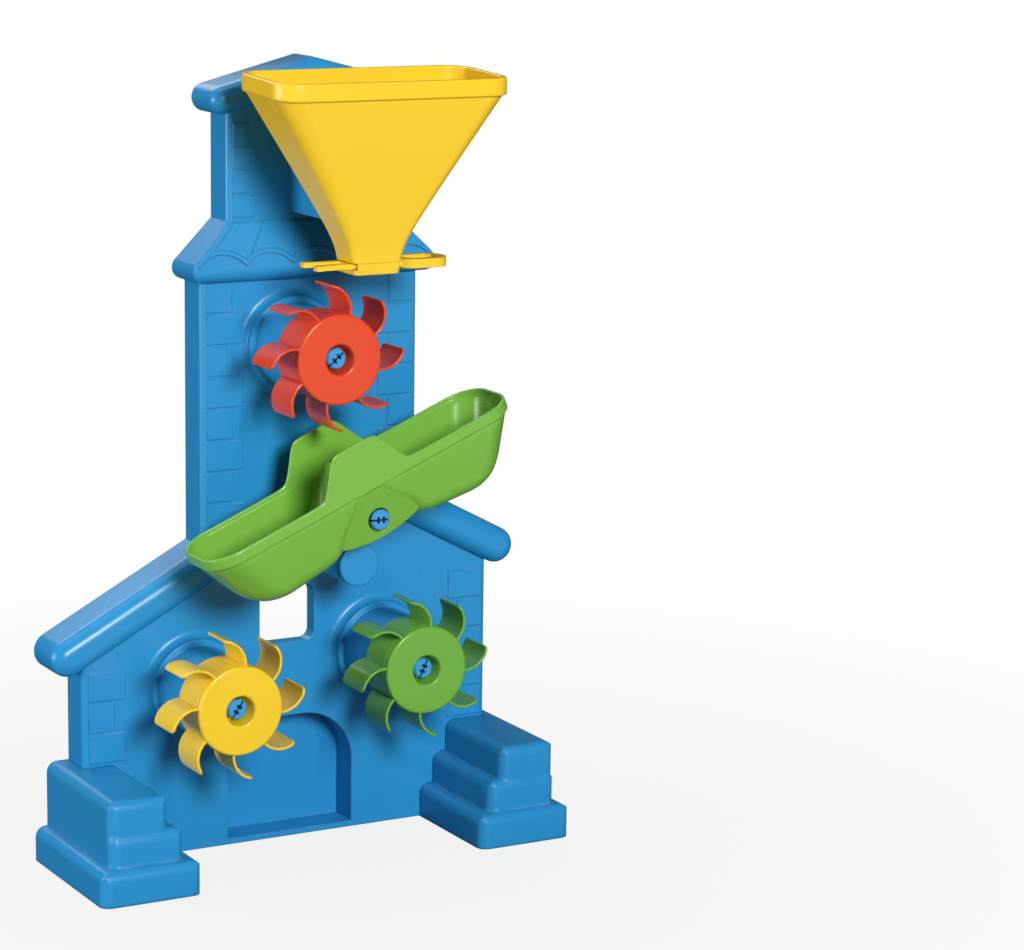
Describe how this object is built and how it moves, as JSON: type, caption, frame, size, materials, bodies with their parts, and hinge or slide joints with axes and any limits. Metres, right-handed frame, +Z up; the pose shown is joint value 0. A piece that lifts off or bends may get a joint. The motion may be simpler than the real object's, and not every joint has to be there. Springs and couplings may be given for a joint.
{
  "type": "sand wheel toy",
  "caption": "Blue moulded sand tower with stepped feet, a yellow hopper with a slide gate, turning blade wheels and a lime tipping trough",
  "frame": {"origin": "on the floor, in the middle of the box round the whole toy", "axes": "+X to the right seen from the front, +Y to the open back, +Z up"},
  "size_m": [0.265, 0.1062, 0.408],
  "materials": {
    "blue": "moulded plastic, semi gloss with a fine grain",
    "yellow": "moulded plastic, semi gloss with a fine grain",
    "red": "moulded plastic, semi gloss with a fine grain",
    "green": "moulded plastic, semi gloss with a fine grain",
    "lime": "moulded plastic, semi gloss with a fine grain"
  },
  "bodies": {
    "tower": {"tower_shell": "blue", "left_foot": "blue", "right_foot": "blue", "hopper": "yellow", "pin_top": "blue", "pin_left": "blue", "pin_right": "blue", "pin_tipper": "blue"},
    "top_wheel": {"wheel_top": "red"},
    "left_wheel": {"wheel_left": "yellow"},
    "right_wheel": {"wheel_right": "green"},
    "trough": {"tipper": "lime"},
    "gate": {"slide_gate": "yellow"}
  },
  "joints": [
    {"name": "top_wheel_spin", "type": "hinge", "parent": "tower", "child": "top_wheel", "pos_m": [0.002, -0.01137, 0.262], "axis": [0, 1, 0], "continuous": true},
    {"name": "left_wheel_spin", "type": "hinge", "parent": "tower", "child": "left_wheel", "pos_m": [-0.0525, -0.01137, 0.088], "axis": [0, 1, 0], "continuous": true},
    {"name": "right_wheel_spin", "type": "hinge", "parent": "tower", "child": "right_wheel", "pos_m": [0.0525, -0.01137, 0.097], "axis": [0, 1, 0], "continuous": true},
    {"name": "trough_tip", "type": "hinge", "parent": "tower", "child": "trough", "pos_m": [0.02, -0.01337, 0.181], "axis": [0, 1, 0], "range_deg": [0, 45.95]},
    {"name": "gate_slide", "type": "slide", "parent": "tower", "child": "gate", "axis": [1, 0, 0], "range_m": [0, 0.016]}
  ]
}
